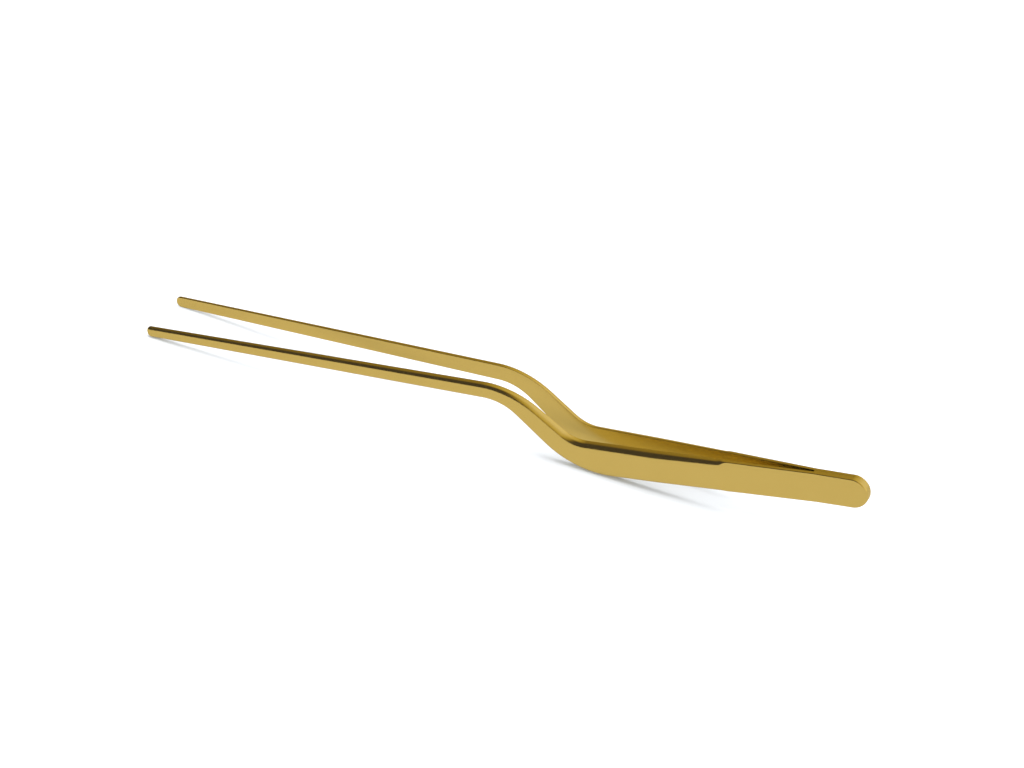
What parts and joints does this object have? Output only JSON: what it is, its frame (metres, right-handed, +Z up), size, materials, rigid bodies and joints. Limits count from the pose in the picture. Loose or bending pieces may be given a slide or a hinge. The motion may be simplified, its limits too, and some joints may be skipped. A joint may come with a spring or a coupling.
{
  "type": "offset bar tongs",
  "caption": "Long slim offset tongs of gold-coloured steel: sprung strip arms with a raised handle, welded at the rear round a thin spacer.",
  "frame": {"origin": "on the supporting surface, under the middle of the tongs' length, in the middle plane between the arms", "axes": "+X from the tips to the rear end, Y across the opening (left arm at +Y), +Z up"},
  "size_m": [0.3, 0.0242, 0.0326],
  "materials": {
    "left_strip": "satin gold-coloured coating on stainless spring steel",
    "right_strip": "satin gold-coloured coating on stainless spring steel",
    "spacer": "satin gold-coloured coating, ground flush with the strips"
  },
  "bodies": {
    "rear_joint": {"left_tail": "left_strip", "right_tail": "right_strip", "spacer": "spacer"},
    "left_arm": {"left_blade": "left_strip"},
    "right_arm": {"right_blade": "right_strip"}
  },
  "joints": [
    {"name": "left_squeeze", "type": "hinge", "parent": "rear_joint", "child": "left_arm", "pos_m": [0.11339, 0.00129, 0.02014], "axis": [-0.1929, 0, 0.9812], "range_deg": [0, 2.25], "stiffness_Nm_per_rad": 15},
    {"name": "right_squeeze", "type": "hinge", "parent": "rear_joint", "child": "right_arm", "pos_m": [0.11339, -0.00129, 0.02014], "axis": [0.1929, 0, -0.9812], "range_deg": [0, 2.25], "stiffness_Nm_per_rad": 15}
  ]
}
